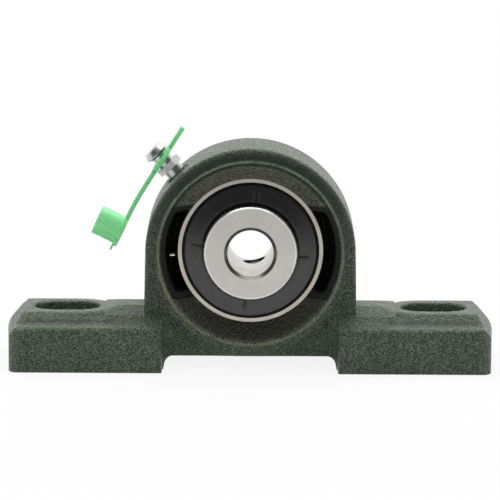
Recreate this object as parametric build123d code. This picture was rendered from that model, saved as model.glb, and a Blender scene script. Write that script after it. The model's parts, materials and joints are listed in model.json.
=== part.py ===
"""Pillow block bearing unit: a cast housing with a self-aligning ball bearing insert.

The frame is +Z up, +X along the base and +Y along the shaft, so the front of the unit faces -Y.
The origin is the middle of the base, straight below the bearing's centre. Sizes are in millimetres
and angles in degrees. Angles round the shaft are seen from the front, counted from +X towards +Z.
"""

from build123d import *
from math import atan2, cos, degrees, radians, sin, sqrt, tan
import os

# ---- Housing base ----
base_length = 127.0
base_depth = 38.0
shaft_height = 30.2
foot_edge_height = 11.6  # top of the feet's upright front and back faces
foot_end_height = 10.5  # where the feet's upright ends would meet their slope
foot_end_draft = 3.9  # the ends fall back on both sides of the mould's parting plane
ledge_run = 7.0  # the sloping ledge from the foot's front edge to the trough before the pad
ledge_rise = 1.5
ledge_tuck = 1.5  # how far the ledges run on under the pads and humps
pad_height = 14.4  # seat of the bolt's washer
pad_end_distance = 2.2  # from the end of the base to the pad's outline
pad_corner_radius = 4.5
pad_edge_rounding = 3.2
flank_angle = 45.0  # slope of the pad's flanks and of the feet's ends
foot_inner_reach = 22.8  # from the middle of the base to each foot's inner side
foot_corner_radius = 3.5
foot_inner_rounding = 1.2
foot_edge_rounding = 1.0
foot_end_rounding = 6.0
foot_margin = 0.03  # the feet's roundings would end this far outside their upright faces
foot_base_rounding = 0.5
pocket_radius = 3.0  # between a foot's inner side and the web
slot_width = 12.0
slot_length = 17.0
slot_end_wall = 7.0  # from the slot to the end of the base
slot_edge_rounding = 0.7
neck_half_depth = 4.2  # flat top of the hump between the pad and the web
neck_height = 15.3
neck_flank_drop = 1.5  # from the hump's flat top to the shoulder above the trough
neck_slope_run = 4.0
neck_slot_distance = 1.5
neck_shoulder_rounding = 1.0
relief_height = 3.2  # arch under the middle of the base
relief_half_length = 22.5
relief_end_run = 0.6
relief_corner_radius = 2.2

# ---- Housing ring ----
ring_radius = 27.3
ring_half_depth = 11.9
ring_edge_rounding = 1.8
web_half_depth = 11.0
web_edge_rounding = 1.2
ring_root_rounding = 6.0  # concave, from the ring's edge to the web's face
ring_root_sink = 0.03  # the rounding dips this far into both
side_draft = 1.0
ring_face_width = 3.7  # from the ring's outside to where the rough cone would meet its face
mouth_rounding = 3.0
seat_margin = 0.15  # how far the seat runs past each face of the outer ring
seat_clearance = 0.05
loading_slot_half_height = 10.7
loading_slot_past_centre = 2.6
loading_slot_depth = 2.2  # beyond the outer ring's sphere
loading_slot_corner_radius = 2.0
seat_groove_centre = 1.6
seat_groove_width = 4.4
seat_groove_depth = 0.8

# ---- Bearing rings and balls ----
bore_diameter = 12.0
sphere_diameter = 40.0
outer_ring_width = 12.5
inner_ring_width = 27.4
front_reach = 11.5  # from the ball centres to the inner ring's short end
inner_land_diameter = 24.3
outer_land_diameter = 32.8
seal_bore_diameter = 34.8
seal_bore_depth = 1.85
seal_mouth_chamfer = 0.5
ball_count = 8
ball_diameter = 6.747
pitch_diameter = 28.5
raceway_conformity = 0.52  # raceway radius over ball diameter
ball_clearance = 0.05
bore_chamfer = 0.85
rim_chamfer = 0.25
outer_edge_rounding = 0.3
first_ball_angle = 90.0
ring_groove_offset = 3.4  # behind the ball centres
ring_groove_width = 1.5
ring_groove_depth = 0.5
ring_grease_hole_diameter = 1.2
ring_grease_hole_angles = (60.0, 240.0)

# ---- Anti-rotation pin ----
pin_angle = 186.0
pin_diameter = 2.0
pin_slot_clearance = 0.7  # from the pin's end to the loading slot's outer wall
pin_seat_depth = 1.6
pin_clearance = 0.03
pin_end_rounding = 0.25

# ---- Cage ----
cage_sheet = 0.55
cage_band_width = 2.8
pocket_clearance = 0.1
rivet_diameter = 1.2
rivet_clearance = 0.02
rivet_head_diameter = 2.0
rivet_head_height = 0.4

# ---- Seals and slingers ----
seal_sheet = 0.7
seal_lip_clearance = 0.12
seal_lip_thickness = 0.3
seal_lip_taper = 1.1
slinger_sheet = 0.6
slinger_seal_gap = 0.45
slinger_dish = 0.95  # how far the outer edge falls back from the inner edge
slinger_front_gap = 1.45  # from the outer ring's face plane to the slinger's inner edge
slinger_rim_clearance = 0.15
slinger_bend = 1.0
slinger_rim_rounding = 0.35
stake_count = 4
stake_angle = 84.0
stake_step = 90.0
stake_depth = 0.3
stake_width = 1.1
stake_reach = 2.8

# ---- Set screws ----
set_screw_diameter = 6.0
set_screw_length = 5.6
set_screw_clearance = 0.05
set_screw_end_distance = 4.5  # from the inner ring's long end
set_screw_angles = (-79.0, 41.0)
set_screw_recess = 0.2  # below the inner ring's outside
set_screw_point_depth = 0.6
set_screw_point_diameter = 3.6
set_screw_chamfer = 0.4
hex_socket_across_flats = 3.0
hex_socket_depth = 3.0

# ---- Grease nipple ----
nipple_angle = 135.0
nipple_boss_radius = 3.5
nipple_boss_height = 0.25
nipple_standoff = 2.0  # from the ring's outside to the hexagon
nipple_thread_diameter = 5.0
nipple_thread_depth = 4.8  # below the ring's outside
hexagon_across_flats = 6.0
hexagon_height = 1.7
neck_diameter = 4.4
neck_length = 3.0
head_diameter = 6.6
head_cone_height = 0.6
head_band_height = 0.2
head_tip_height = 1.4
head_tip_diameter = 5.2
nipple_mouth_diameter = 1.8
nipple_lip = 0.6
valve_ball_diameter = 2.38
valve_clearance = 0.08
valve_seat_clearance = 0.03
spring_wire_diameter = 0.3
spring_diameter = 1.9
spring_length = 4.2
spring_turns = 6
spring_ball_gap = 0.05
spring_floor_gap = 0.02
grease_passage_diameter = 1.6

# ---- Grease cap with its strap ----
strap_droop = 12.5  # tilt of the strap's eye on the nipple's neck
eye_diameter = 8.2
eye_hole_clearance = 0.4
eye_thickness = 1.2
eye_lift = 0.28  # least gap between the tilted eye and the hexagon
strap_thickness = 1.1
strap_width = 4.2
strap_length = 21.7  # from the eye's middle to the cup's middle
strap_bend = 6.5
strap_bend_length = 10.0
tail_length = 10.0  # from the eye's middle
tail_width = 3.2
cup_base_diameter = 8.8
cup_head_clearance = 0.05
cup_wall = 0.5
cup_depth = 6.3
nub_length = 1.3
nub_width = 1.0
nub_thickness = 0.5

# ---- Sizes that follow ----
bolt_spacing = base_length - slot_length - 2 * slot_end_wall
mouth_radius = ring_radius - ring_face_width
sphere_radius = sphere_diameter / 2
loading_slot_reach = sphere_radius + loading_slot_depth
pin_end = loading_slot_reach - pin_slot_clearance
ball_radius = ball_diameter / 2
pitch_radius = pitch_diameter / 2
half_width = outer_ring_width / 2
back_reach = inner_ring_width - front_reach
inner_land_radius = inner_land_diameter / 2
raceway_radius = raceway_conformity * ball_diameter
seat_radius = sphere_radius + seat_clearance
seat_half_width = half_width + seat_margin
seat_lip_radius = sqrt(seat_radius**2 - seat_half_width**2)
slot_radius = slot_width / 2
slot_half_travel = slot_length / 2 - slot_radius
flank_slope = tan(radians(flank_angle))
roof_height = foot_edge_height + ledge_rise
trough = base_depth / 2 - ledge_run  # where the ledges meet the pads and the humps
pad_half_depth = trough - (pad_height - roof_height) / flank_slope
pad_end = base_length / 2 - pad_end_distance
foot_end_fall = base_depth / 2 * tan(radians(foot_end_draft))
lean = radians(side_draft)
side_top_height = shaft_height + ring_radius * sin(lean)  # where the web's sides meet the arch
side_top_reach = ring_radius * cos(lean)
outer_land_radius = outer_land_diameter / 2
seal_bore_radius = seal_bore_diameter / 2
ball_step = 360 / ball_count
seal_front = half_width - seal_bore_depth + seal_sheet
slinger_inner = half_width + slinger_front_gap
slinger_outer_radius = seal_bore_radius - slinger_rim_clearance
screw_plane = set_screw_end_distance - back_reach
hexagon_start = ring_radius + nipple_standoff
hexagon_end = hexagon_start + hexagon_height
head_start = hexagon_end + neck_length
nipple_tip = head_start + head_cone_height + head_band_height + head_tip_height
chamber_end = nipple_tip - nipple_lip
valve_ball_radius = valve_ball_diameter / 2
seat_offset = sqrt(valve_ball_radius**2 - (nipple_mouth_diameter / 2) ** 2)
valve_ball_place = chamber_end - seat_offset - valve_seat_clearance
coil_radius = (spring_diameter - spring_wire_diameter) / 2
touch_radius = valve_ball_radius + spring_wire_diameter / 2
coil_top = valve_ball_place - sqrt(touch_radius**2 - coil_radius**2) - spring_ball_gap
coil_bottom = coil_top + spring_wire_diameter - spring_length
chamber_start = coil_bottom - spring_wire_diameter / 2 - spring_floor_gap

# The bearing's own frame: origin at the ball centres, +Z out of the front, +X to the right.
bearing_frame = Location((0, 0, shaft_height), (90, 0, 0))


def around_shaft(angle, distance=0.0):
    """A place at a distance from the bearing's centre, with its +Z outwards and +X to the front."""
    direction = Vector(cos(radians(angle)), 0, sin(radians(angle)))
    origin = Vector(0, 0, shaft_height) + direction * distance
    return Plane(origin=origin, x_dir=(0, -1, 0), z_dir=direction).location


def outwards(angle, height=0.0):
    """In the bearing's frame: a place on the axis whose +Z points outwards at an angle."""
    return Pos(0, 0, height) * Rot(0, 0, angle) * Rot(0, 90, 0)


def turned(points):
    """A solid of revolution about Z from the corners of its half section, as (radius, height)."""
    return revolve(Plane.XZ * make_face(Polyline(*points, close=True)), Axis.Z)


def rod(radius, low, high):
    """A round bar along Z between two heights."""
    return Pos(0, 0, (low + high) / 2) * Cylinder(radius, high - low)


def washer(outer, inner, low, high):
    """A flat or tall ring along Z between two heights."""
    return rod(outer, low, high) - rod(inner, low, high)


def hexagon_bar(across_flats, low, high):
    """A hexagonal bar along Z, with a corner towards +X."""
    outline = RegularPolygon(across_flats / 2, 6, major_radius=False, rotation=30)
    return Pos(0, 0, low) * extrude(outline, high - low)


# ---------------------------------------------------------------- Housing


def foot_plan():
    """Plan of the two feet and of the web between them, with its ends at an angle to the front."""
    end = base_length / 2
    corner = end - foot_end_fall
    side = base_depth / 2
    right = ((corner, -side), (end, 0), (corner, side))
    left = ((-corner, side), (-end, 0), (-corner, -side))
    plan = make_face(Polyline(*right, *left, close=True))
    plan = fillet(plan.vertices().filter_by(at_foot_corner), foot_corner_radius)
    pocket = Rectangle(2 * foot_inner_reach, 2 * (side - web_half_depth))
    for place in (-side, side):
        plan -= Pos(0, place) * pocket
    plan = fillet(plan.vertices().filter_by(at_pocket_mouth), foot_inner_rounding)
    return fillet(plan.vertices().filter_by(at_pocket_floor), pocket_radius)


def at_foot_corner(corner):
    return abs(corner.Y) > 1


def at_pocket_mouth(corner):
    return abs(abs(corner.X) - foot_inner_reach) < 0.01 and abs(corner.Y) > web_half_depth + 1


def at_pocket_floor(corner):
    return abs(abs(corner.X) - foot_inner_reach) < 0.01 and abs(corner.Y) < web_half_depth + 1


def ledges():
    """The feet's front and back: upright faces with rounded edges under ledges that rise to the trough."""
    side = base_depth / 2 + foot_margin
    crest = trough - ledge_tuck
    crest_height = roof_height + ledge_tuck * ledge_rise / ledge_run
    right = ((side, 0), (side, foot_edge_height), (crest, crest_height))
    left = ((-crest, crest_height), (-side, foot_edge_height), (-side, 0))
    profile = make_face(Polyline(*right, *left, close=True))
    levels = profile.vertices().group_by(Axis.Y)
    profile = fillet(levels[0], foot_base_rounding)
    profile = fillet(profile.vertices().filter_by(at_foot_edge), foot_edge_rounding)
    return extrude(Plane.YZ * profile, base_length, both=True)


def at_foot_edge(corner):
    return abs(corner.Y - foot_edge_height) < 0.01


def foot_ends():
    """A block over the whole base whose drafted ends give the feet their rounded, sloping ends."""
    end = base_length / 2 + foot_margin
    top = 2 * pad_height
    top_end = end - (top - foot_end_height) / flank_slope
    right = ((end, -top), (end, foot_end_height), (top_end, top))
    left = ((-top_end, top), (-end, foot_end_height), (-end, -top))
    profile = make_face(Polyline(*right, *left, close=True))
    profile = fillet(profile.vertices().filter_by(at_foot_end), foot_end_rounding)
    return extrude(Plane.XZ * profile, base_depth / 2, both=True, taper=foot_end_draft)


def at_foot_end(corner):
    return abs(corner.Y - foot_end_height) < 0.01


def feet():
    """The two feet with their pads and humps, and the middle of the base between them."""
    body = ledges() + neck() + mirror(neck(), Plane.YZ)
    body -= bolt_slot() + mirror(bolt_slot(), Plane.YZ)
    body += pad()
    body += mirror(pad(), Plane.YZ)
    surround = Rectangle(2 * base_length, 2 * base_depth) - foot_plan()
    body -= extrude(surround, 2 * pad_height, both=True)
    return body & foot_ends()


def pad():
    """The raised seat round the right bolt slot; its outer end runs past the foot's end."""
    slot_x = bolt_spacing / 2
    inner_centre = slot_x - slot_half_travel
    tip = Pos(inner_centre, 0) * Circle(pad_half_depth)
    body = Pos((inner_centre + pad_end) / 2, 0) * Rectangle(pad_end - inner_centre, 2 * pad_half_depth)
    body = fillet(body.vertices().group_by(Axis.X)[-1], pad_corner_radius)
    drop = pad_height - foot_edge_height
    block = extrude(Pos(0, 0, pad_height) * (tip + body), drop, dir=(0, 0, -1), taper=-flank_angle)
    block = fillet(block.edges().group_by(Axis.Z)[-1], pad_edge_rounding) - bolt_slot()
    return fillet(block.edges().filter_by(on_slot_rim), slot_edge_rounding)


def neck():
    """The broad hump that leads from the right pad up to the web."""
    end = (bolt_spacing - slot_length) / 2 - neck_slot_distance
    along = Polyline(
        (0, foot_edge_height),
        (0, neck_height),
        (end - neck_slope_run, neck_height),
        (end, pad_height),
        (end, foot_edge_height),
        close=True,
    )
    shoulder_height = neck_height - neck_flank_drop
    shoulder = trough - (shoulder_height - roof_height) / flank_slope
    low = trough + (roof_height - foot_edge_height) / flank_slope
    right = ((low, foot_edge_height), (shoulder, shoulder_height), (neck_half_depth, neck_height))
    left = ((-neck_half_depth, neck_height), (-shoulder, shoulder_height), (-low, foot_edge_height))
    section = make_face(Polyline(*right, *left, close=True))
    section = fillet(section.vertices().filter_by(at_neck_shoulder), neck_shoulder_rounding)
    block = extrude(Plane.YZ * section, end)
    return block & extrude(Plane.XZ * make_face(along), base_depth / 2, both=True)


def at_neck_shoulder(corner):
    return abs(corner.Y - neck_height + neck_flank_drop) < 0.01


def bolt_slot():
    """The cut for the right bolt."""
    outline = SlotOverall(slot_length, slot_width)
    return Pos(bolt_spacing / 2, 0) * extrude(outline, 2 * pad_height, both=True)


def on_slot_rim(edge):
    middle = edge.center()
    along = abs(abs(middle.X) - bolt_spacing / 2) < slot_length / 2 + 0.01
    return along and abs(middle.Y) < slot_radius + 0.01 and abs(middle.Z - pad_height) < 0.01


def web():
    """The wall under the ring: an arch over the shaft with sides that lean out to the base."""
    base_reach = web_side(0)
    outline = (
        Line((-base_reach, 0), (base_reach, 0))
        + Line((base_reach, 0), (side_top_reach, side_top_height))
        + ThreePointArc(
            (side_top_reach, side_top_height),
            (0, shaft_height + ring_radius),
            (-side_top_reach, side_top_height),
        )
        + Line((-side_top_reach, side_top_height), (-base_reach, 0))
    )
    block = extrude(Plane.XZ * make_face(outline), web_half_depth, both=True)
    return fillet(block.edges().filter_by(on_web_outline), web_edge_rounding)


def web_side(height):
    """How far the web reaches to each side at a height below the shaft."""
    return side_top_reach + (side_top_height - height) * tan(lean)


def on_web_outline(edge):
    return abs(abs(edge.center().Y) - web_half_depth) < 0.01 and edge.center().Z > 1


def ring():
    """The round boss that carries the bearing."""
    boss = Cylinder(ring_radius, 2 * ring_half_depth)
    return bearing_frame * fillet(boss.edges().filter_by(GeomType.CIRCLE), ring_edge_rounding)


def ring_root():
    """The concave rounding from the ring's rounded edge down to the web's face, below the shaft."""
    edge_centre = ring_radius - ring_edge_rounding
    reach = ring_root_rounding + ring_edge_rounding
    rise = reach - (ring_half_depth - web_half_depth)
    centre = edge_centre + sqrt(reach**2 - rise**2)
    top = ring_half_depth - ring_edge_rounding * (1 - rise / reach)
    low = web_half_depth - ring_edge_rounding / 2
    band = make_face(
        Polyline((edge_centre, low), (centre, low), (centre, top), (edge_centre, top), close=True)
    )
    hollow = Pos(centre, web_half_depth + ring_root_rounding - ring_root_sink)
    root = bearing_frame * revolve(Plane.XZ * (band - hollow * Circle(ring_root_rounding)), Axis.Z)
    face_width = 2 * (side_top_reach - web_edge_rounding)
    face = Pos(0, 0, shaft_height / 2) * Box(face_width, 2 * ring_half_depth, shaft_height)
    return (root + mirror(root, Plane.XZ)) & face


def relief():
    """The arch cut under the middle of the base."""
    top = relief_half_length - relief_end_run
    section = make_face(
        Polyline(
            (-relief_half_length, -relief_height),
            (-relief_half_length, 0),
            (-top, relief_height),
            (top, relief_height),
            (relief_half_length, 0),
            (relief_half_length, -relief_height),
            close=True,
        )
    )
    section = fillet(section.vertices().group_by(Axis.Y)[-1], relief_corner_radius)
    return extrude(Plane.XZ * section, base_depth, both=True)


def mouth():
    """The rough opening before the seat: a cone that ends in a round lip on the ring's face."""
    half_section = make_face(
        Polyline(
            (0, 0),
            (seat_lip_radius, 0),
            (seat_lip_radius, seat_half_width),
            (mouth_radius, ring_half_depth),
            (ring_radius, ring_half_depth),
            (ring_radius, ring_radius),
            (0, ring_radius),
            close=True,
        )
    )
    edge = half_section.vertices().sort_by_distance((mouth_radius, ring_half_depth))[0]
    return revolve(Plane.XZ * fillet(edge, mouth_rounding), Axis.Z)


def loading_slots():
    """Cuts on both sides of the front, wide enough to pass the outer ring edge-on."""
    outline = Circle(loading_slot_reach) & Rectangle(sphere_diameter * 2, loading_slot_half_height * 2)
    outline = fillet(outline.vertices(), loading_slot_corner_radius)
    deep = ring_half_depth + loading_slot_past_centre
    return Pos(0, 0, -loading_slot_past_centre) * extrude(outline, deep)


def seat_groove():
    """The grease groove round the seat."""
    low = -seat_groove_centre - seat_groove_width / 2
    return rod(seat_radius + seat_groove_depth, low, low + seat_groove_width)


def housing():
    """The cast housing with its machined seat, slots, grease passage and nipple thread."""
    body = feet() + web() + ring() + ring_root() - relief()
    nipple_axis = around_shaft(nipple_angle)
    body += nipple_axis * rod(nipple_boss_radius, seat_radius + 1, ring_radius + nipple_boss_height)
    opening = mouth() + mirror(mouth(), Plane.XY) + Sphere(seat_radius) + loading_slots()
    body -= bearing_frame * (opening + seat_groove())
    body -= nipple_axis * rod(grease_passage_diameter / 2, 0, ring_radius)
    thread_start = ring_radius - nipple_thread_depth
    return body - nipple_axis * rod(nipple_thread_diameter / 2, thread_start, 2 * ring_radius)


# ---------------------------------------------------------------- Bearing insert


def seal_seat():
    """The cut in the outer ring's front for the seal and the slinger's rim."""
    floor = half_width - seal_bore_depth
    mouth_start = half_width - seal_mouth_chamfer
    return turned(
        (
            (0, floor),
            (seal_bore_radius, floor),
            (seal_bore_radius, mouth_start),
            (seal_bore_radius + seal_mouth_chamfer, half_width),
            (seal_bore_radius + seal_mouth_chamfer, half_width + 1),
            (0, half_width + 1),
        )
    )


def outer_ring():
    """The outer ring with its spherical outside, raceway, seal seats, grease groove and pin hole."""
    body = Sphere(sphere_radius) & rod(sphere_radius, -half_width, half_width)
    body = fillet(body.edges().filter_by(GeomType.CIRCLE), outer_edge_rounding)
    body -= rod(outer_land_radius, -half_width, half_width)
    body -= Torus(pitch_radius + ball_radius + ball_clearance - raceway_radius, raceway_radius)
    body -= seal_seat() + mirror(seal_seat(), Plane.XY)
    groove_outside = sqrt(sphere_radius**2 - ring_groove_offset**2)
    groove_low = -ring_groove_offset - ring_groove_width / 2
    groove_floor = groove_outside - ring_groove_depth
    body -= washer(sphere_radius + 1, groove_floor, groove_low, groove_low + ring_groove_width)
    for angle in ring_grease_hole_angles:
        hole = rod(ring_grease_hole_diameter / 2, pitch_radius, sphere_radius)
        body -= outwards(angle, -ring_groove_offset) * hole
    pin_hole = rod(pin_diameter / 2 + pin_clearance, sphere_radius - pin_seat_depth, sphere_radius + 1)
    return bearing_frame * (body - outwards(pin_angle) * pin_hole)


def inner_ring():
    """The wide inner ring with its bore, raceway and two set screw holes."""
    body = rod(inner_land_radius, -back_reach, front_reach)
    body = chamfer(body.edges().filter_by(GeomType.CIRCLE), rim_chamfer)
    bore = rod(bore_diameter / 2, -back_reach, front_reach)
    for end, slope in ((front_reach, 1), (-back_reach, -1)):
        bore += bore_chamfer_cone(end, slope)
    body -= bore
    body -= Torus(pitch_radius - ball_radius - ball_clearance + raceway_radius, raceway_radius)
    for angle in set_screw_angles:
        hole = rod(set_screw_diameter / 2 + set_screw_clearance, 0, 2 * inner_land_radius)
        body -= outwards(angle, screw_plane) * hole
    return bearing_frame * body


def bore_chamfer_cone(end, slope):
    """The cut that chamfers one end of the bore."""
    radius = bore_diameter / 2
    points = (
        (0, end - slope * bore_chamfer),
        (radius, end - slope * bore_chamfer),
        (radius + bore_chamfer, end),
        (0, end),
    )
    return turned(points)


def anti_rotation_pin():
    """The pin that stands out of the outer ring into the housing's loading slot."""
    start = sphere_radius - pin_seat_depth + pin_clearance
    body = rod(pin_diameter / 2, start, pin_end)
    body = fillet(body.edges().group_by(Axis.Z)[-1], pin_end_rounding)
    return bearing_frame * outwards(pin_angle) * body


def ball_place(index):
    return Rot(0, 0, first_ball_angle + index * ball_step) * Pos(pitch_radius, 0, 0)


def ball(index):
    return bearing_frame * ball_place(index) * Sphere(ball_radius)


def rivet_place(index):
    return Rot(0, 0, first_ball_angle + (index + 0.5) * ball_step) * Pos(pitch_radius, 0, 0)


def cage_half():
    """The front half of the ribbon cage: domed pockets joined by flat bridges."""
    pocket = Sphere(ball_radius + pocket_clearance)
    dome = Sphere(ball_radius + pocket_clearance + cage_sheet)
    ribbon = rod(2 * pitch_radius, 0, cage_sheet)
    for index in range(ball_count):
        ribbon += ball_place(index) * dome
    outer = pitch_radius + cage_band_width / 2
    ribbon &= washer(outer, outer - cage_band_width, 0, 2 * ball_radius)
    hole = rod(rivet_diameter / 2 + rivet_clearance, -cage_sheet, cage_sheet)
    for index in range(ball_count):
        ribbon -= ball_place(index) * pocket
        ribbon -= rivet_place(index) * hole
    return ribbon


def cage_rivet():
    """A rivet closed on both sides of the cage."""
    shank = rod(rivet_diameter / 2, -cage_sheet, cage_sheet)
    head = rod(rivet_head_diameter / 2, cage_sheet, cage_sheet + rivet_head_height)
    head = chamfer(head.edges().group_by(Axis.Z)[-1], rivet_head_height / 2)
    return shank + head + mirror(head, Plane.XY)


def cage_rivets():
    rivets = [bearing_frame * rivet_place(index) * cage_rivet() for index in range(ball_count)]
    return Compound(children=rivets)


def seal():
    """The front rubber seal: its edge sits in the outer ring and its lip runs on the inner ring."""
    back = seal_front - seal_sheet
    lip_radius = inner_land_radius + seal_lip_clearance
    return turned(
        (
            (seal_bore_radius, back),
            (seal_bore_radius, seal_front),
            (lip_radius, seal_front),
            (lip_radius, seal_front - seal_lip_thickness),
            (lip_radius + seal_lip_taper, back),
        )
    )


def slinger():
    """The front slinger: a dished steel ring pressed on the inner ring, with its hub and rim bent back."""
    rim_end = seal_front + slinger_seal_gap
    front_edge = slinger_inner - slinger_dish
    profile = make_face(
        Polyline(
            (inner_land_radius, rim_end),
            (inner_land_radius, slinger_inner),
            (slinger_outer_radius, front_edge),
            (slinger_outer_radius, rim_end),
            (slinger_outer_radius - slinger_sheet, rim_end),
            (slinger_outer_radius - slinger_sheet, front_edge - slinger_sheet),
            (inner_land_radius + slinger_sheet, slinger_inner - slinger_sheet),
            (inner_land_radius + slinger_sheet, rim_end),
            close=True,
        )
    )
    bends = (
        ((inner_land_radius, slinger_inner), slinger_bend),
        ((inner_land_radius + slinger_sheet, slinger_inner - slinger_sheet), slinger_bend - slinger_sheet),
        ((slinger_outer_radius, front_edge), slinger_rim_rounding),
    )
    for corner, radius in bends:
        profile = fillet(profile.vertices().sort_by_distance(corner)[0], radius)
    body = revolve(Plane.XZ * profile, Axis.Z)
    for index in range(stake_count):
        body -= Rot(0, 0, stake_angle + index * stake_step) * stake()
    return body


def stake():
    """A dent of the staking tool: a shallow cone that points outwards from the slinger's bend."""
    width_radius = stake_width / 2
    start = inner_land_radius + slinger_bend / 2
    rise = width_radius - stake_depth
    slope = atan2(slinger_dish, slinger_outer_radius - inner_land_radius)
    dip = atan2(rise, stake_reach)
    cone = Pos(0, 0, stake_reach / 2) * Cone(width_radius, 0, stake_reach)
    return Pos(start, 0, slinger_inner + rise) * Rot(0, 90 + degrees(slope + dip), 0) * cone


def set_screw(angle):
    """A cup point set screw with its hexagon socket outside."""
    outer_end = inner_land_radius - set_screw_recess
    inner_end = outer_end - set_screw_length
    body = rod(set_screw_diameter / 2, inner_end, outer_end)
    body = chamfer(body.edges().filter_by(GeomType.CIRCLE), set_screw_chamfer)
    body -= hexagon_bar(hex_socket_across_flats, outer_end - hex_socket_depth, outer_end)
    cup = Pos(0, 0, inner_end + set_screw_point_depth / 2)
    body -= cup * Cone(set_screw_point_diameter / 2, 0, set_screw_point_depth)
    return bearing_frame * outwards(angle, screw_plane) * body


# ---------------------------------------------------------------- Grease nipple


def grease_nipple():
    """The nipple: thread, hexagon, neck and button head round the chamber of its valve."""
    neck_radius = neck_diameter / 2
    cone_end = head_start + head_cone_height
    head = turned(
        (
            (0, head_start),
            (neck_radius, head_start),
            (head_diameter / 2, cone_end),
            (head_diameter / 2, cone_end + head_band_height),
            (head_tip_diameter / 2, nipple_tip),
            (0, nipple_tip),
        )
    )
    body = rod(nipple_thread_diameter / 2, ring_radius - nipple_thread_depth, hexagon_start)
    body += hexagon_bar(hexagon_across_flats, hexagon_start, hexagon_end)
    body += rod(neck_radius, hexagon_end, head_start) + head
    body -= rod(nipple_mouth_diameter / 2, chamber_end, nipple_tip)
    body -= rod(valve_ball_radius + valve_clearance, chamber_start, chamber_end)
    body -= rod(grease_passage_diameter / 2, 0, chamber_start)
    return around_shaft(nipple_angle) * body


def nipple_ball():
    return around_shaft(nipple_angle, valve_ball_place) * Sphere(valve_ball_radius)


def nipple_spring():
    """The coil spring between the chamber's floor and the valve ball."""
    rise = coil_top - coil_bottom
    path = Helix(rise / spring_turns, rise, coil_radius)
    section = Plane(origin=path @ 0, z_dir=path % 0) * Circle(spring_wire_diameter / 2)
    return around_shaft(nipple_angle, coil_bottom) * sweep(section, path=path)


# ---------------------------------------------------------------- Grease cap


def plate(length, width, thickness):
    """A flat strip that starts at the origin and runs along +X."""
    return Pos(length / 2, 0, thickness / 2) * Box(length, width, thickness)


def strap_arc(start, radius):
    """The bent stretch of the strap, after a straight one, curving towards -Z."""
    centre = (start, -radius)
    lower = CenterArc(centre, radius, 90, -strap_bend)
    upper = CenterArc(centre, radius + strap_thickness, 90, -strap_bend)
    outline = [lower, upper, Line(lower @ 0, upper @ 0), Line(lower @ 1, upper @ 1)]
    return extrude(Plane.XZ * make_face(outline), strap_width / 2, both=True)


def cup():
    """The cap itself on the strap's end, with the trace of its mould's gate."""
    base_radius = cup_base_diameter / 2
    bore_radius = head_diameter / 2 + cup_head_clearance
    base = rod(base_radius, 0, strap_thickness)
    wall = washer(bore_radius + cup_wall, bore_radius, strap_thickness, strap_thickness + cup_depth)
    nub = plate(base_radius + nub_length, nub_width, nub_thickness)
    nub = Pos(0, 0, strap_thickness - nub_thickness) * nub
    return Pos(base_radius, 0, 0) * (base + wall + nub)


def grease_cap():
    """The soft moulding: eye round the nipple's neck, tail, strap and cup.

    It is drawn with its eye flat, +Z on the cup's side and +X along the strap.
    """
    base_radius = cup_base_diameter / 2
    straight = strap_length - base_radius - strap_bend_length
    turn = radians(strap_bend)
    radius = strap_bend_length / turn
    strap_end = Pos(straight + radius * sin(turn), 0, -radius * (1 - cos(turn)))
    body = rod(eye_diameter / 2, 0, eye_thickness) + plate(straight, strap_width, strap_thickness)
    body += Rot(0, 0, 180) * plate(tail_length, tail_width, strap_thickness)
    body += strap_arc(straight, radius)
    body += strap_end * Rot(0, strap_bend, 0) * (cup() + plate(base_radius, strap_width, strap_thickness))
    body -= rod(neck_diameter / 2 + eye_hole_clearance, 0, eye_thickness)
    hexagon_corner = hexagon_across_flats / sqrt(3)
    eye_start = hexagon_end + hexagon_corner * tan(radians(strap_droop)) + eye_lift
    eye_place = around_shaft(nipple_angle, eye_start) * Rot(strap_droop, 0, 0) * Rot(0, 0, -90)
    return eye_place * body


# ---------------------------------------------------------------- All pieces


def front_and_back(name, shape):
    """A piece in the bearing's frame and its mirror image at the back."""
    return {
        f"{name}_front": bearing_frame * shape,
        f"{name}_back": bearing_frame * mirror(shape, Plane.XY),
    }


def all_nodes():
    nodes = {
        "housing": housing(),
        "outer_ring": outer_ring(),
        "inner_ring": inner_ring(),
        "anti_rotation_pin": anti_rotation_pin(),
        "cage_rivets": cage_rivets(),
        "grease_nipple": grease_nipple(),
        "nipple_ball": nipple_ball(),
        "nipple_spring": nipple_spring(),
        "grease_cap": grease_cap(),
    }
    nodes.update(front_and_back("cage", cage_half()))
    nodes.update(front_and_back("seal", seal()))
    nodes.update(front_and_back("slinger", slinger()))
    for index in range(ball_count):
        nodes[f"ball_{index + 1}"] = ball(index)
    for number, angle in enumerate(set_screw_angles, 1):
        nodes[f"set_screw_{number}"] = set_screw(angle)
    return nodes


def main():
    os.makedirs("parts", exist_ok=True)
    for name, shape in all_nodes().items():
        export_step(shape, f"parts/{name}.step")
        print(name, round(shape.volume, 2))


main()
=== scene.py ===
"""The looks of a pillow block bearing: paint, steel, black plate, zinc and plastic, a studio and a camera.

Everything is in metres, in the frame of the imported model: +Z up, +X along the base, and the front at -Y.
Colours are linear. A span is where a smooth step starts and ends, and its shares are what it gives there.
A band is a centre and a half width. A noise is given by the size of its features and its other settings.
"""

import json
import math

import bpy
from mathutils import Matrix, Vector


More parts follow.
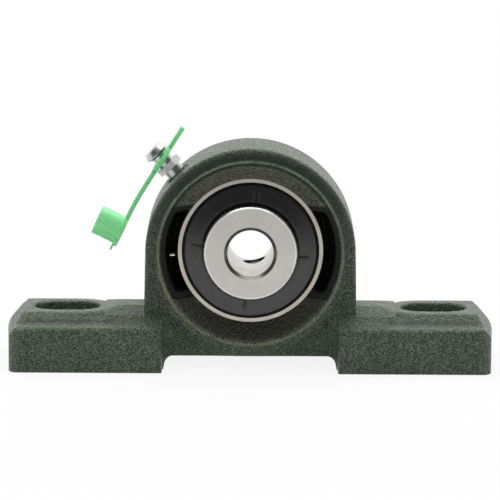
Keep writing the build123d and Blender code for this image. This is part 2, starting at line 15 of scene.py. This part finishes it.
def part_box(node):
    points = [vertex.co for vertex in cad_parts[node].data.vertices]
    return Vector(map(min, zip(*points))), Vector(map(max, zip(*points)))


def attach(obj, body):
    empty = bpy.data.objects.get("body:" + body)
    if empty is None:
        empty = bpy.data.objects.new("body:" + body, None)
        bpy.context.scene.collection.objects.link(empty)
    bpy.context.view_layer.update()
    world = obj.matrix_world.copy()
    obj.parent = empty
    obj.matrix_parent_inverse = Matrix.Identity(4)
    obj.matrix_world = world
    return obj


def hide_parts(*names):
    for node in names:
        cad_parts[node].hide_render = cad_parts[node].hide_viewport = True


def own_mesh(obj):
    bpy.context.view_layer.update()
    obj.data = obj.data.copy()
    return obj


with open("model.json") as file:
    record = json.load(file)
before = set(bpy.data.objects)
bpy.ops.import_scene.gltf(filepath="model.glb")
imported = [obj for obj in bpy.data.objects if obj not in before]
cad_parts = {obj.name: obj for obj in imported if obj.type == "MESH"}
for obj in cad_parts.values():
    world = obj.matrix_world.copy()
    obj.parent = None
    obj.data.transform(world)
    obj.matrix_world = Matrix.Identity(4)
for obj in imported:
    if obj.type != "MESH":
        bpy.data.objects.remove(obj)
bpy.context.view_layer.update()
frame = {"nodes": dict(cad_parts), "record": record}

MM = 0.001
full_turn = 2 * math.pi
white = (1, 1, 1, 1)
noise_span = (0.3, 0.7)


def mm(*lengths, origin=0.0):
    """Lengths in millimetres, counted from an origin in metres, as metres."""
    return tuple(origin + length * MM for length in lengths)


# ---- Places on the object: from the frame, then two radii of the housing ----
seat_low, seat_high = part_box("outer_ring")
shaft_height = (seat_low.z + seat_high.z) / 2
shaft_to_origin = (0.0, 0.0, -shaft_height)
nipple_low, nipple_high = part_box("grease_nipple")
eye_centre = (nipple_low + nipple_high) / 2
lip_radius = 23.9 * MM
ring_radius = 27.3 * MM


# ---- Node trees ----
# A Mix node has sockets of one name for each kind of data, so its colour sockets go by number.
mix_first = 6
mix_second = 7
mix_result = 2
# The two shader sockets of a Mix Shader node share a name as well.
shader_first = 1
shader_second = 2
# These operations of a Vector Math node give a number and not a vector.
number_operations = ("LENGTH", "DISTANCE", "DOT_PRODUCT")


class Tree:
    """The node tree of a material or a world, built by short calls."""

    def __init__(self, owner):
        owner.use_nodes = True
        self.owner = owner
        self.tree = owner.node_tree
        self.tree.nodes.clear()

    def node(self, kind, inputs=None, **settings):
        made = self.tree.nodes.new("ShaderNode" + kind)
        for key, value in settings.items():
            setattr(made, key, value)
        for key, value in (inputs or {}).items():
            self.feed(value, made.inputs[key])
        return made

    def feed(self, value, socket):
        """Links a socket to an output, or sets it to a plain value."""
        if isinstance(value, bpy.types.NodeSocket):
            self.tree.links.new(value, socket)
        else:
            socket.default_value = value

    def place(self):
        """The place on the object in metres."""
        return self.node("TexCoord").outputs["Object"]

    def move(self, vector, offset=(0, 0, 0), scale=(1, 1, 1)):
        mapping = self.node("Mapping", {"Vector": vector, "Location": offset, "Scale": scale})
        return mapping.outputs["Vector"]

    def split(self, vector):
        return self.node("SeparateXYZ", {"Vector": vector}).outputs

    def join(self, x=0.0, y=0.0, z=0.0):
        return self.node("CombineXYZ", {"X": x, "Y": y, "Z": z}).outputs["Vector"]

    def noise(self, vector, size, detail=2.0, roughness=0.5, distortion=0.0):
        """Noise whose features are about this size, in the vector's own unit."""
        inputs = {"Vector": vector, "Scale": 1 / size, "Detail": detail, "Roughness": roughness,
                  "Distortion": distortion}
        return self.node("TexNoise", inputs).outputs["Fac"]

    def math(self, operation, *values):
        made = self.node("Math", operation=operation)
        for socket, value in zip(made.inputs, values):
            self.feed(value, socket)
        return made.outputs["Value"]

    def vector(self, operation, *values):
        made = self.node("VectorMath", operation=operation)
        for socket, value in zip(made.inputs, values):
            self.feed(value, socket)
        return made.outputs["Value" if operation in number_operations else "Vector"]

    def product(self, first, *others):
        for other in others:
            first = self.math("MULTIPLY", first, other)
        return first

    def most(self, first, *others):
        """The largest of some values."""
        for other in others:
            first = self.math("MAXIMUM", first, other)
        return first

    def weighted(self, values, weights):
        """The sum of two values, each times its weight."""
        parts = [self.math("MULTIPLY", value, weight) for value, weight in zip(values, weights)]
        return self.math("ADD", *parts)

    def ramp(self, value, span, shares=(0.0, 1.0)):
        """A smooth step along the span, from the first share to the second."""
        low, high = span
        from_share, to_share = shares
        inputs = {"Value": value, "From Min": low, "From Max": high, "To Min": from_share, "To Max": to_share}
        return self.node("MapRange", inputs, interpolation_type="SMOOTHSTEP").outputs["Result"]

    def band(self, value, centre, half_width):
        """One at the centre, falling to zero at the half width on each side."""
        away = self.math("ABSOLUTE", self.math("SUBTRACT", value, centre))
        return self.ramp(away, (0.0, half_width), (1.0, 0.0))

    def mix(self, share, first, second):
        """The first colour, with this share of the second."""
        made = self.node("Mix", data_type="RGBA")
        self.feed(share, made.inputs["Factor"])
        self.feed(first, made.inputs[mix_first])
        self.feed(second, made.inputs[mix_second])
        return made.outputs[mix_result]

    def bump(self, height, distance, strength=1.0, normal=None):
        made = self.node("Bump", {"Height": height, "Distance": distance, "Strength": strength})
        if normal is not None:
            self.feed(normal, made.inputs["Normal"])
        return made.outputs["Normal"]

    def finish(self, inputs):
        """Ends a material's tree with a principled shader, and returns the material."""
        shader = self.node("BsdfPrincipled", inputs)
        self.node("OutputMaterial", {"Surface": shader.outputs["BSDF"]})
        return self.owner


def material_tree(name):
    return Tree(bpy.data.materials.new(name))


def from_shaft(tree, place):
    """The distance from the shaft's axis, the share of a turn round it from +X, and the depth along it."""
    x, y, z = tree.split(tree.move(place, shaft_to_origin))
    turn = tree.math("DIVIDE", tree.math("ARCTAN2", z, x), full_turn)
    return tree.vector("LENGTH", tree.join(x=x, z=z)), turn, y


# ---- Paint on the casting ----
paint_dark = (0.022, 0.038, 0.019, 1)
# The light fleck colour: partly the paint's own tone, partly a painted highlight on the relief's crests.
paint_light_and_relief_highlight = (0.185, 0.252, 0.165, 1)
# Painted shade for the ring's front face.
face_painted_shade = (0.016, 0.028, 0.015, 1)
# Painted shade for the ledges' trough and a painted highlight for their ridge.
trough_painted_shade = (0.014, 0.022, 0.013, 1)
ridge_painted_highlight = (0.24, 0.30, 0.23, 1)
# Lighter paint on edges: partly worn, partly a painted highlight.
edge_wear_and_highlight = (0.20, 0.26, 0.19, 1)
# Painted highlight for the lip's crest.
crest_painted_highlight = (0.27, 0.33, 0.25, 1)
# Brown in the mouth: partly bare, oily iron, partly painted shade.
mouth_brown_and_shade = (0.026, 0.024, 0.018, 1)
mouth_chip = (0.30, 0.29, 0.24, 1)
# Near-black painted shade for the loading slots.
slot_painted_shade = (0.012, 0.012, 0.010, 1)
iron_brown = (0.30, 0.24, 0.18, 1)
iron_machined = (0.35, 0.34, 0.32, 1)

grain_stretch = (0.75, 1.0, 1.0)
grain_noise = {"size": 0.23 * MM, "detail": 0.0}
peel_noise = {"size": 1.1 * MM, "detail": 1.0, "distortion": 0.5}
wave_noise = {"size": 7 * MM, "detail": 2.0}
patch_noise = {"size": 11 * MM, "detail": 3.0, "roughness": 0.6}
rub_noise = {"size": 2.2 * MM, "detail": 4.0, "roughness": 0.65}

# Where the zones are. Radii count from the shaft's axis, depths from its middle with the front at -Y,
# and heights from the base, unless an origin is given.
mouth_radius_span = mm(-0.4, -1.4, origin=lip_radius)
mouth_depth_span = mm(-5.2, -6.4)
mouth_deep_span = mm(22.6, 21.6)
slot_aside_span = mm(12.4, 11.8)
slot_radius_span = mm(23.4, 23.0)
slot_depth_span = mm(4.6, 4.2)
low_span = mm(2, -12, origin=shaft_height)
high_span = mm(6, 14, origin=shaft_height)
face_radius_span = mm(0.4, -0.6, origin=ring_radius)
face_depth_span = mm(-10.6, -11.4)
face_base_span = mm(12, 24)
face_height_span = mm(-8, 22, origin=shaft_height)
face_shade_shares = (0.25, 0.95)
ledge_base_span = mm(10, 10.6)
ledge_top_span = mm(16.5, 15.5)
ledge_end_span = mm(34, 37)
trough_shade_band = mm(14.0, 2.2)
ridge_highlight_band = mm(17.4, 1.4)
lip_band = (lip_radius + 0.1 * MM, 0.6 * MM)
lip_depth_span = mm(-9.5, -11.0)
crest_height_span = mm(0, 14, origin=shaft_height)
crest_highlight_shares = (0.8, 1.0)
left_span = mm(6, -14)
left_height_span = mm(34, 12)
seat_depth_span = mm(-6.5, -6.3)
seat_radius_span = mm(20.2, 20.1)

# The relief is peel and grain over slow waves, and the slots have little peel and grain.
relief_weights = (1.3, 0.6)
relief_depth = 0.9 * MM
wave_depth = 0.5 * MM
wave_strength = 0.7
slot_flattening = 0.9

# How much of each colour there is.
fleck_weights = (0.85, 0.15)
fleck_span = (0.36, 0.66)
patch_span = (0.35, 0.68)
patch_shares = (0.0, 0.22)
trough_peel_span = (0.35, 0.6)
trough_peel_shares = (1.0, 0.6)
ridge_highlight_share = 0.5
chip_span = (0.50, 0.66)
chip_shares = (0.25, 1.0)
scoured_and_shaded_share = 0.9
crest_rub_span = (0.25, 0.60)
crest_rub_shares = (0.5, 1.0)
wear_weights = (0.8, 0.7)
wear_rub_span = (0.40, 0.62)

# An edge is where the rounded normal leaves the true one and nothing stands close by.
edge_radius = 0.9 * MM
edge_reach = 1.2 * MM
edge_samples = 6
edge_bend_span = (0.02, 0.20)
edge_free_span = (0.80, 0.98)
edge_rub_span = (0.30, 0.60)
edge_rub_shares = (0.3, 0.9)

paint_roughness = (0.34, 0.24)
slot_roughness = 0.85
face_roughness = 0.5
paint_specular = 0.5


def cast_paint():
    """Dark green paint on a rough casting: brown in the mouth, partly bare iron and partly painted shade;
    near-black painted shade in the slots; painted shade on the ring's face and in the ledges' trough; painted
    highlights on the lip and the ledges' ridge; edges lighter, partly worn and partly a painted highlight;
    and bare on the seat.
    """
    t = material_tree("cast_green")
    place = t.place()
    radius, _, depth = from_shaft(t, place)
    x, y, z = t.split(place)
    grain = t.noise(t.move(place, scale=grain_stretch), **grain_noise)
    peel = t.noise(place, **peel_noise)
    waves = t.noise(place, **wave_noise)
    patches = t.noise(place, **patch_noise)
    rubbed = t.noise(place, **rub_noise)

    # Zones, which are 1 inside and 0 outside.
    low = t.ramp(z, low_span)
    high = t.ramp(z, high_span)
    in_mouth = t.product(t.ramp(radius, mouth_radius_span), t.ramp(depth, mouth_depth_span))
    scoured_and_shaded = t.product(in_mouth, t.most(low, t.ramp(radius, mouth_deep_span)))
    aside = t.math("ABSOLUTE", t.math("SUBTRACT", z, shaft_height))
    in_slot = t.product(
        t.ramp(aside, slot_aside_span),
        t.ramp(radius, slot_radius_span),
        t.ramp(depth, slot_depth_span),
    )
    on_face = t.product(
        t.ramp(radius, face_radius_span),
        t.ramp(depth, face_depth_span),
        t.ramp(z, face_base_span),
        t.ramp(z, face_height_span, face_shade_shares),
    )
    on_ledge = t.product(
        t.ramp(z, ledge_base_span),
        t.ramp(z, ledge_top_span),
        t.ramp(t.math("ABSOLUTE", x), ledge_end_span),
    )
    lip = t.product(t.band(radius, *lip_band), t.ramp(depth, lip_depth_span))
    low_left = t.product(t.ramp(x, left_span), t.ramp(z, left_height_span))
    machined = t.product(t.ramp(depth, seat_depth_span), t.ramp(radius, seat_radius_span))

    # Relief.
    bevelled = t.node("Bevel", {"Radius": edge_radius}, samples=edge_samples).outputs["Normal"]
    soft = t.bump(waves, wave_depth, wave_strength, bevelled)
    uneven = t.math("SUBTRACT", 1.0, t.product(in_slot, slot_flattening))
    height = t.product(t.weighted((peel, grain), relief_weights), uneven)
    normal = t.bump(height, relief_depth, normal=soft)

    # The coat: flecked all over, lighter on the relief's crests and darker in its pits, partly the paint's
    # own uneven tone and partly painted highlight and shade; painted shade on the ring's face, darker towards
    # its top; and painted shade in the trough and a painted highlight on the ridge along the feet's ledges.
    fleck_and_relief_light = t.weighted((grain, peel), fleck_weights)
    colour = t.mix(t.ramp(fleck_and_relief_light, fleck_span), paint_dark, paint_light_and_relief_highlight)
    colour = t.mix(t.ramp(patches, patch_span, patch_shares), colour, paint_dark)
    # Painted shade on the ring's front face, deeper towards its top.
    colour = t.mix(on_face, colour, face_painted_shade)
    beside = t.math("ABSOLUTE", y)
    # Painted shade in the trough along the ledges, broken by the peel, and a painted highlight on the ridge
    # in front of it.
    trough_shade = t.product(t.band(beside, *trough_shade_band), t.ramp(peel, trough_peel_span, trough_peel_shares))
    colour = t.mix(t.product(on_ledge, trough_shade), colour, trough_painted_shade)
    ridge_highlight = t.product(t.band(beside, *ridge_highlight_band), ridge_highlight_share)
    colour = t.mix(t.product(on_ledge, ridge_highlight), colour, ridge_painted_highlight)

    # Edges lighter, partly worn paint and partly a painted highlight; the mouth brown, partly bare iron and
    # partly painted shade; and the slots painted near black as painted shade.
    true_normal = t.node("NewGeometry").outputs["Normal"]
    bend = t.math("SUBTRACT", 1.0, t.vector("DOT_PRODUCT", bevelled, true_normal))
    free = t.node("AmbientOcclusion", {"Distance": edge_reach}, samples=edge_samples).outputs["AO"]
    edge_wear_and_highlight_share = t.product(
        t.ramp(bend, edge_bend_span),
        t.ramp(free, edge_free_span),
        t.ramp(rubbed, edge_rub_span, edge_rub_shares),
    )
    colour = t.mix(edge_wear_and_highlight_share, colour, edge_wear_and_highlight)
    chip = t.product(t.ramp(grain, chip_span), t.ramp(high, (0.0, 1.0), chip_shares))
    mouth_scars_and_shade = t.mix(chip, mouth_brown_and_shade, mouth_chip)
    # The mouth brown, partly bare iron and partly painted shade, most low down and deep in.
    colour = t.mix(t.product(scoured_and_shaded, scoured_and_shaded_share), colour, mouth_scars_and_shade)
    # The loading slots painted near black as painted shade in the deep recesses.
    colour = t.mix(in_slot, colour, slot_painted_shade)

    # The lip, with a painted highlight on its crest that is brighter higher up, and worn to brown iron low
    # down and at the left, and the machined seat.
    crest_highlight = t.product(lip, t.ramp(z, crest_height_span, crest_highlight_shares))
    broken_crest_highlight = t.product(crest_highlight, t.ramp(rubbed, crest_rub_span, crest_rub_shares))
    colour = t.mix(broken_crest_highlight, colour, crest_painted_highlight)
    wear = t.product(lip, t.weighted((low_left, low), wear_weights))
    colour = t.mix(t.product(wear, t.ramp(rubbed, wear_rub_span)), colour, iron_brown)
    colour = t.mix(machined, colour, iron_machined)

    dull = t.most(t.product(in_slot, slot_roughness), t.product(on_face, face_roughness))
    rough = t.most(t.ramp(peel, noise_span, paint_roughness), dull)
    return t.finish({
        "Base Color": colour,
        "Roughness": rough,
        "Metallic": machined,
        "Normal": normal,
        "Specular IOR Level": paint_specular,
    })


# ---- Ground steel of the two rings ----
steel_tone = (0.72, 0.71, 0.665)
stain_share = 0.82
steel_clean = (*steel_tone, 1)
steel_stained = (*(part * stain_share for part in steel_tone), 1)
outer_warm = (0.46, 0.43, 0.33, 1)
outer_share = 0.5
outer_span = mm(17.4, 17.6)
# Painted dark reflection for the bore's chamfer.
chamfer_painted_dark_reflection = (0.27, 0.265, 0.245, 1)
chamfer_inner_span = mm(6.0, 6.06)
chamfer_outer_span = mm(6.95, 6.8)
# Painted highlight for the inner ring's rounded outer rim.
rim_painted_highlight = (0.95, 0.94, 0.90, 1)
rim_inner_span = mm(11.5, 11.8)
rim_outer_span = mm(12.6, 12.4)

line_width = 0.09 * MM
line_changes = 5.0
line_noise = {"size": 1.0, "detail": 2.0}
fine_noise = {"size": 0.35 * MM, "detail": 3.0, "roughness": 0.7}
stain_noise = {"size": 5 * MM, "detail": 4.0, "roughness": 0.65}
line_weights = (1.0, 0.5)
tint_weights = (0.5, 0.5)
steel_relief = 0.02 * MM
steel_relief_strength = 0.35
steel_roughness = (0.25, 0.38)


def ground_steel():
    """Ground steel with fine lines round the shaft, faint stains and uneven gloss."""
    t = material_tree("ground_steel")
    place = t.place()
    radius, turn, depth = from_shaft(t, place)
    across = t.math("DIVIDE", radius, line_width)
    along = t.math("DIVIDE", depth, line_width)
    lines = t.noise(t.join(across, t.product(turn, line_changes), along), **line_noise)
    fine = t.noise(place, **fine_noise)
    stain = t.noise(place, **stain_noise)

    clean = t.ramp(t.weighted((fine, stain), tint_weights), noise_span)
    tint = t.mix(clean, steel_stained, steel_clean)
    tint = t.mix(t.product(t.ramp(radius, outer_span), outer_share), tint, outer_warm)
    # The bore's chamfer darkened as a painted dark reflection.
    chamfer_reflection_share = t.product(t.ramp(radius, chamfer_outer_span), t.ramp(radius, chamfer_inner_span))
    tint = t.mix(chamfer_reflection_share, tint, chamfer_painted_dark_reflection)
    # Painted highlight on the inner ring's rounded outer rim.
    rim_highlight = t.product(t.ramp(radius, rim_inner_span), t.ramp(radius, rim_outer_span))
    tint = t.mix(rim_highlight, tint, rim_painted_highlight)

    height = t.weighted((lines, fine), line_weights)
    return t.finish({
        "Base Color": tint,
        "Metallic": 1.0,
        "Roughness": t.ramp(stain, noise_span, steel_roughness),
        "Normal": t.bump(height, steel_relief, steel_relief_strength),
    })


# ---- Black plate of the slingers, with four stake marks ----
plate_black = (0.012, 0.0122, 0.013, 1)
plate_dusty = (0.060, 0.061, 0.060, 1)
# Painted shade for the stake notches.
notch_painted_shade = (0.002, 0.002, 0.002, 1)
# Pale burrs by the stakes: partly bare metal, partly a painted highlight.
burr_and_highlight_grey = (0.055, 0.055, 0.053, 1)

scratch_width = 0.16 * MM
scratch_changes = 14.0
scratch_noise = {"size": 1.0, "detail": 3.0}
dust_noise = {"size": 1.6 * MM, "detail": 5.0, "roughness": 0.7}
dust_span = (0.60, 0.74)
dust_share = 0.5

stake_count = 4
stake_turn = 84 / 360
half_step = 0.5
stake_inner_span = mm(12.4, 12.6)
stake_outer_span = mm(15.9, 15.0)
notch_shade_band = mm(0.0, 0.7)
burr_and_highlight_band = mm(0.75, 0.35)

plate_weights = (0.6, 0.4)
plate_span = (0.35, 0.65)
plate_roughness = (0.24, 0.34)
stake_roughness = 0.8
plate_specular = 0.85
scratch_depth = 0.015 * MM
scratch_strength = 0.4


def slinger_black():
    """Black plated steel sheet: satin, finely scratched, a little dusty, with painted shade in the stake
    notches and pale burrs that are partly bare metal and partly a painted highlight.
    """
    t = material_tree("slinger_black")
    place = t.place()
    radius, turn, _ = from_shaft(t, place)
    across = t.math("DIVIDE", radius, scratch_width)
    scratches = t.noise(t.join(across, t.product(turn, scratch_changes)), **scratch_noise)
    dust = t.noise(place, **dust_noise)
    colour = t.mix(t.product(t.ramp(dust, dust_span), dust_share), plate_black, plate_dusty)

    # The way round from the nearest stake mark, first in steps from one mark to the next, then in metres.
    steps = t.product(t.math("SUBTRACT", turn, stake_turn), stake_count)
    steps = t.math("SUBTRACT", t.math("FRACT", t.math("ADD", steps, stake_count + half_step)), half_step)
    aside = t.product(steps, full_turn / stake_count, radius)
    reach = t.product(t.ramp(radius, stake_outer_span), t.ramp(radius, stake_inner_span))
    notch_shade = t.product(t.band(aside, *notch_shade_band), reach)
    burr_and_highlight = t.product(t.band(t.math("ABSOLUTE", aside), *burr_and_highlight_band), reach)
    # Painted shade in the stake notches.
    colour = t.mix(notch_shade, colour, notch_painted_shade)
    # Pale burrs beside the notches, partly bare metal and partly a painted highlight.
    colour = t.mix(burr_and_highlight, colour, burr_and_highlight_grey)

    rough = t.ramp(t.weighted((scratches, dust), plate_weights), plate_span, plate_roughness)
    rough = t.most(rough, t.product(t.most(notch_shade, burr_and_highlight), stake_roughness))
    return t.finish({
        "Base Color": colour,
        "Roughness": rough,
        "Specular IOR Level": plate_specular,
        "Normal": t.bump(scratches, scratch_depth, scratch_strength),
    })


# ---- Green plastic of the cap ----
plastic_green = (0.30, 0.96, 0.40, 1)
plastic_light = (0.36, 1.0, 0.46, 1)
# Deeper green by the eye: partly thicker plastic, partly painted shade under the nipple.
eye_deep_and_shaded_green = (0.07, 0.86, 0.26, 1)
eye_span = mm(6.0, 4.0)
flow_noise = {"size": 3.0 * MM, "detail": 3.0}
plastic_roughness = (0.26, 0.38)
plastic_index = 1.46
scatter_share = 0.3
scatter_radii = (0.6, 1.6, 0.8)
scatter_scale = 0.4 * MM


def green_plastic():
    """Soft green plastic of the grease cap, slightly translucent, and deeper in colour by its eye, partly
    thicker plastic and partly painted shade under the nipple.
    """
    t = material_tree("green_plastic")
    place = t.place()
    flow = t.noise(place, **flow_noise)
    colour = t.mix(flow, plastic_green, plastic_light)
    from_eye = t.vector("DISTANCE", place, tuple(eye_centre))
    # Deeper green by the eye, partly thicker plastic and partly painted shade.
    colour = t.mix(t.ramp(from_eye, eye_span), colour, eye_deep_and_shaded_green)
    return t.finish({
        "Base Color": colour,
        "Roughness": t.ramp(flow, noise_span, plastic_roughness),
        "IOR": plastic_index,
        "Subsurface Weight": scatter_share,
        "Subsurface Radius": scatter_radii,
        "Subsurface Scale": scatter_scale,
    })


# ---- The plainer finishes ----
fine_relief_strength = 0.4


def clouded(name, noise, colours, roughness, metallic=0.0, stretch=None, colour_span=None,
            relief_depth=None, relief_noise=None):
    """A finish whose colour and gloss follow one noise, with a fine relief where a depth is given."""
    t = material_tree(name)
    place = t.place()
    cloud = t.noise(t.move(place, scale=stretch) if stretch else place, **noise)
    share = t.ramp(cloud, colour_span) if colour_span else cloud
    inputs = {
        "Base Color": t.mix(share, *colours),
        "Metallic": metallic,
        "Roughness": t.ramp(cloud, noise_span, roughness),
    }
    if relief_depth:
        height = t.noise(place, **relief_noise) if relief_noise else cloud
        inputs["Normal"] = t.bump(height, relief_depth, fine_relief_strength)
    return t.finish(inputs)


def polished_steel():
    """Bright polished balls with a faint oil film."""
    return clouded(
        "polished_steel",
        noise={"size": 2.5 * MM, "detail": 3.0},
        colours=((0.62, 0.61, 0.58, 1), (0.74, 0.73, 0.71, 1)),
        roughness=(0.06, 0.16),
        metallic=1.0,
    )


def pressed_steel():
    """Pressed strip of the cage, dull, with rolling lines."""
    return clouded(
        "cage_steel",
        noise={"size": 0.8 * MM, "detail": 3.0},
        colours=((0.40, 0.38, 0.34, 1), (0.55, 0.53, 0.49, 1)),
        roughness=(0.32, 0.48),
        metallic=1.0,
        stretch=(1, 6, 1),
        relief_depth=0.03 * MM,
    )


def seal_rubber():
    """Dull black nitrile rubber, a little dusty."""
    return clouded(
        "seal_rubber",
        noise={"size": 1.2 * MM, "detail": 4.0},
        colours=((0.012, 0.012, 0.012, 1), (0.030, 0.029, 0.027, 1)),
        colour_span=(0.4, 0.75),
        roughness=(0.55, 0.72),
        relief_depth=0.03 * MM,
    )


def screw_black():
    """Black oxide steel of the set screws."""
    return clouded(
        "screw_black",
        noise={"size": 1.1 * MM, "detail": 4.0},
        colours=((0.012, 0.012, 0.013, 1), (0.035, 0.033, 0.031, 1)),
        roughness=(0.30, 0.46),
        metallic=0.6,
    )


def zinc_plate():
    """Bright zinc plating, slightly cloudy, with fine pits."""
    return clouded(
        "zinc_plate",
        noise={"size": 1.3 * MM, "detail": 4.0, "roughness": 0.6},
        colours=((0.50, 0.50, 0.51, 1), (0.72, 0.72, 0.72, 1)),
        roughness=(0.26, 0.40),
        metallic=1.0,
        relief_depth=0.012 * MM,
        relief_noise={"size": 0.25 * MM, "detail": 2.0},
    )


finishes = {
    "cast_green": cast_paint(),
    "ground_steel": ground_steel(),
    "polished_steel": polished_steel(),
    "cage_steel": pressed_steel(),
    "seal_rubber": seal_rubber(),
    "slinger_black": slinger_black(),
    "screw_black": screw_black(),
    "zinc_plate": zinc_plate(),
    "green_plastic": green_plastic(),
}
for part in frame["record"]["subparts"]:
    piece = frame["nodes"][part["node"]]
    piece.data.materials.clear()
    piece.data.materials.append(finishes[part["material_slot"]])


# ---- The check spring, copied in place of its solid ----
def check_spring():
    """The spring behind the nipple's check ball, which in the real valve shortens as the ball is pushed in;
    here it is copied with a mesh of its own onto the housing in place of its solid.
    """
    joint = next(j for j in frame["record"]["behaviour"]["joints"] if j["name"] == "valve_ball_push")
    rule = joint["deforming_nodes"][0]
    solid = frame["nodes"][rule["node"]]
    coil = bpy.data.objects.new("check_spring", solid.data.copy())
    bpy.context.scene.collection.objects.link(coil)
    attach(coil, "housing")
    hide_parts(rule["node"])
    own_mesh(coil)


check_spring()


# ---- Studio ----
floor_size = 12.0
floor_front = -0.42
floor_paper = (0.88, 0.88, 0.88, 1)
floor_glow = 1.0
floor_white_span = (0.1, 0.25)
floor_white_shares = (0.88, 1.0)

sky_light_span = (-0.5, 0.5)
sky_light_shares = (0.32, 0.60)
sky_gloss_span = (-0.25, 0.40)
sky_gloss_shares = (0.12, 1.0)

overhead_place = Vector((0.0, 0.18, 0.72))
overhead_aim = Vector((0.0, 0.0, shaft_height))
overhead_size = 0.9
overhead_power = 5.5


def floor():
    """A pale floor that shows nearly white and keeps the object's shadow."""
    bpy.ops.mesh.primitive_plane_add(size=floor_size, location=(0, floor_front + floor_size / 2, 0))
    plane = bpy.context.object
    plane.name = "studio_floor"
    t = material_tree("floor_white")
    rays = t.node("LightPath").outputs
    paper = t.node("BsdfDiffuse", {"Color": floor_paper}).outputs["BSDF"]
    glow = t.node("Emission", {"Color": white, "Strength": floor_glow}).outputs["Emission"]
    straight = t.most(rays["Is Camera Ray"], rays["Is Glossy Ray"], rays["Is Transmission Ray"])
    away = t.vector("LENGTH", t.node("NewGeometry").outputs["Position"])
    share = t.product(straight, t.ramp(away, floor_white_span, floor_white_shares))
    mixed = t.node("MixShader", {"Fac": share, shader_first: paper, shader_second: glow})
    t.node("OutputMaterial", {"Surface": mixed.outputs["Shader"]})
    plane.data.materials.append(t.owner)


def sky():
    """A soft white room: white to the eye, dimmer in front to metal, and dimmer all round as a light."""
    world = bpy.data.worlds.new("studio")
    bpy.context.scene.world = world
    t = Tree(world)
    rays = t.node("LightPath").outputs
    ahead = t.split(t.node("TexCoord").outputs["Generated"])["Y"]
    light = t.ramp(ahead, sky_light_span, sky_light_shares)
    gloss = t.ramp(ahead, sky_gloss_span, sky_gloss_shares)
    to_gloss = t.product(rays["Is Glossy Ray"], gloss)
    to_rest = t.product(t.math("SUBTRACT", 1.0, rays["Is Glossy Ray"]), light)
    strength = t.most(t.math("ADD", to_gloss, to_rest), rays["Is Camera Ray"], rays["Is Transmission Ray"])
    room = t.node("Background", {"Color": white, "Strength": strength})
    t.node("OutputWorld", {"Surface": room.outputs["Background"]})


def overhead():
    """One large soft lamp above and a little behind the object, aimed at the middle of the shaft."""
    data = bpy.data.lights.new("overhead", "AREA")
    data.shape = "SQUARE"
    data.size = overhead_size
    data.energy = overhead_power
    lamp = bpy.data.objects.new("overhead", data)
    lamp.location = overhead_place
    lamp.rotation_euler = (overhead_aim - overhead_place).to_track_quat("-Z", "Y").to_euler()
    bpy.context.scene.collection.objects.link(lamp)


# ---- Camera ----
camera_pitch = math.radians(9.5)
camera_roll = math.radians(0.32)
camera_distance = 0.950
camera_aim = Vector((-0.13, 0.0, 29.29)) * MM
camera_near = 0.01
camera_far = 50.0
sensor_width = 36.0
focal_length = 261.3


def camera():
    """The camera fitted to the photo, in front of the object and a little above it."""
    data = bpy.data.cameras.new("camera")
    data.sensor_fit = "HORIZONTAL"
    data.sensor_width = sensor_width
    data.lens = focal_length
    data.clip_start = camera_near
    data.clip_end = camera_far
    made = bpy.data.objects.new("camera", data)
    back = Vector((0, -math.cos(camera_pitch), math.sin(camera_pitch)))
    turn = (-back).to_track_quat("-Z", "Y").to_matrix().to_4x4()
    made.matrix_world = (
        Matrix.Translation(camera_aim + back * camera_distance) @ turn @ Matrix.Rotation(camera_roll, 4, "Z")
    )
    bpy.context.scene.collection.objects.link(made)
    bpy.context.scene.camera = made


floor()
sky()
overhead()
camera()
bpy.context.scene.view_settings.view_transform = "Standard"
